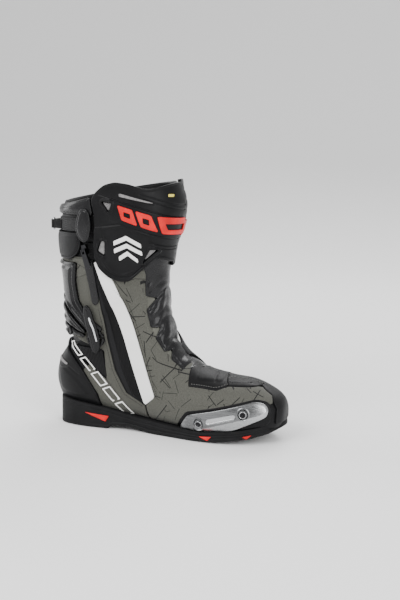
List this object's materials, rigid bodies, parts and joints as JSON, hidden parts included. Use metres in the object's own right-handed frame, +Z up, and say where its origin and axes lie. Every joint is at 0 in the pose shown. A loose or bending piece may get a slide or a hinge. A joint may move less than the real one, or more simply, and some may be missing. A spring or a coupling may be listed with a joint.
{
  "type": "motorcycle racing boot",
  "caption": "Knee-high racing boot for the right foot: zip and strap closure, hinged calf brace, heel stirrups, shin plate and metal toe slider.",
  "frame": {"origin": "centre of the heel tread, on the ground", "axes": "+X to the toe, +Z up the leg, -Y to the outer side of the right foot"},
  "size_m": [0.3149, 0.1259, 0.3261],
  "materials": {
    "sole_rubber": "matte moulded rubber with tread",
    "red_insert": "satin moulded red",
    "insole_fibre": "fibre board",
    "foam_fabric": "brushed mesh over foam",
    "leather_black": "fine-grained, semi-gloss",
    "leather_gloss": "smooth coated, glossy",
    "leather_white": "smooth coated white",
    "textile_grey": "heathered grey textile with dark crackle lines",
    "zip_tape": "ribbed woven tape",
    "webbing": "ribbed woven webbing",
    "plastic_black": "moulded, semi-gloss",
    "plastic_matte": "moulded, fine texture",
    "vent_grey": "perforated insert",
    "slider_metal": "brushed and bevelled",
    "steel_black": "blackened",
    "steel_bright": "polished"
  },
  "bodies": {
    "foot": {"outsole": "sole_rubber", "heel_wedge_lateral": "red_insert", "heel_wedge_medial": "red_insert", "tread_insert_lateral": "red_insert", "insole_board": "insole_fibre", "footbed": "foam_fabric", "foot_upper": "leather_black", "vamp_panel": "leather_black", "toe_cap": "leather_black", "quarter_panel_lateral": "textile_grey", "toe_slider_base": "plastic_matte", "zip_stripe_lower": "leather_white", "zip_tape_lower": "zip_tape", "quarter_panel_rear": "textile_grey", "ankle_pad_lateral": "leather_black", "heel_strap_lateral": "plastic_matte", "heel_cup": "plastic_black", "heel_inlay_medial": "plastic_matte", "ankle_guard_medial": "leather_black", "toe_slider": "slider_metal", "slider_screw_rear": "steel_black", "slider_screw_front": "steel_black", "pivot_pin_lateral": "steel_bright", "pivot_pin_medial": "steel_bright", "instep_bellows": "leather_gloss", "achilles_gusset": "leather_white"},
    "cuff": {"shaft_shell": "leather_black", "shaft_lining": "foam_fabric", "shin_panel_lateral": "textile_grey", "front_panel": "leather_gloss", "zip_stripe_upper": "leather_white", "zip_tape_upper": "zip_tape", "zip_guard_strip": "leather_black", "calf_panel_lateral": "textile_grey", "chevron_panel": "leather_black", "quilted_panel_medial": "leather_white", "calf_brace": "plastic_black", "pivot_cover_lateral": "plastic_black", "pivot_cover_medial": "steel_bright", "brace_bar_medial": "steel_bright", "shin_plate": "plastic_black", "shin_vent_upper": "vent_grey", "shin_vent_rear": "vent_grey", "shin_vent_front": "vent_grey", "shin_bar_rear": "red_insert", "shin_bar_middle": "red_insert", "shin_bar_front": "red_insert", "collar_pad_lateral": "leather_gloss", "rear_shield": "leather_black"},
    "stirrup_upper": {"achilles_stirrup_upper": "plastic_black"},
    "stirrup_lower": {"achilles_stirrup_lower": "plastic_black", "stirrup_cap_lateral": "plastic_matte"},
    "closure_flap": {"closure_flap": "leather_gloss"},
    "ring": {"strap_ring": "steel_bright"},
    "strap": {"webbing_strap": "webbing", "strap_tab": "leather_black"},
    "zip_slider": {"zip_slider": "steel_bright"},
    "zip_pull": {"zip_pull": "steel_black"}
  },
  "joints": [
    {"name": "ankle_flex", "type": "hinge", "parent": "foot", "child": "cuff", "pos_m": [0.02, 0, 0.12], "axis": [0, 1, 0], "range_deg": [-8, 18], "stiffness_Nm_per_rad": 15, "deforming": ["instep_bellows", "achilles_gusset"]},
    {"name": "stirrup_upper_follow", "type": "hinge", "parent": "foot", "child": "stirrup_upper", "pos_m": [0.02, 0, 0.12], "axis": [0, 1, 0], "range_deg": [-5.4, 12.1]},
    {"name": "stirrup_lower_follow", "type": "hinge", "parent": "foot", "child": "stirrup_lower", "pos_m": [0.02, 0, 0.12], "axis": [0, 1, 0], "range_deg": [-2.7, 6.1]},
    {"name": "flap_open", "type": "hinge", "parent": "cuff", "child": "closure_flap", "pos_m": [0.011, 0.06, 0.26], "axis": [0, 0, -1], "range_deg": [0, 100]},
    {"name": "ring_swing", "type": "hinge", "parent": "closure_flap", "child": "ring", "pos_m": [-0.04642, -0.01991, 0.2654], "axis": [0, 0, -1], "range_deg": [0, 60]},
    {"name": "strap_peel", "type": "hinge", "parent": "ring", "child": "strap", "pos_m": [-0.04294, -0.02821, 0.2654], "axis": [0, 0, -1], "range_deg": [0, 100]},
    {"name": "zip_slide", "type": "slide", "parent": "cuff", "child": "zip_slider", "axis": [0.2881, 0.064, -0.9554], "range_m": [0, 0.192]},
    {"name": "pull_swing", "type": "hinge", "parent": "zip_slider", "child": "zip_pull", "pos_m": [0.01374, -0.06139, 0.23558], "axis": [-0.9414, 0.2021, -0.2701], "range_deg": [0, 150]}
  ],
  "couplings": [
    {"joint": "stirrup_upper_follow", "follows": "ankle_flex", "ratio": 0.6667},
    {"joint": "stirrup_lower_follow", "follows": "ankle_flex", "ratio": 0.3333}
  ]
}
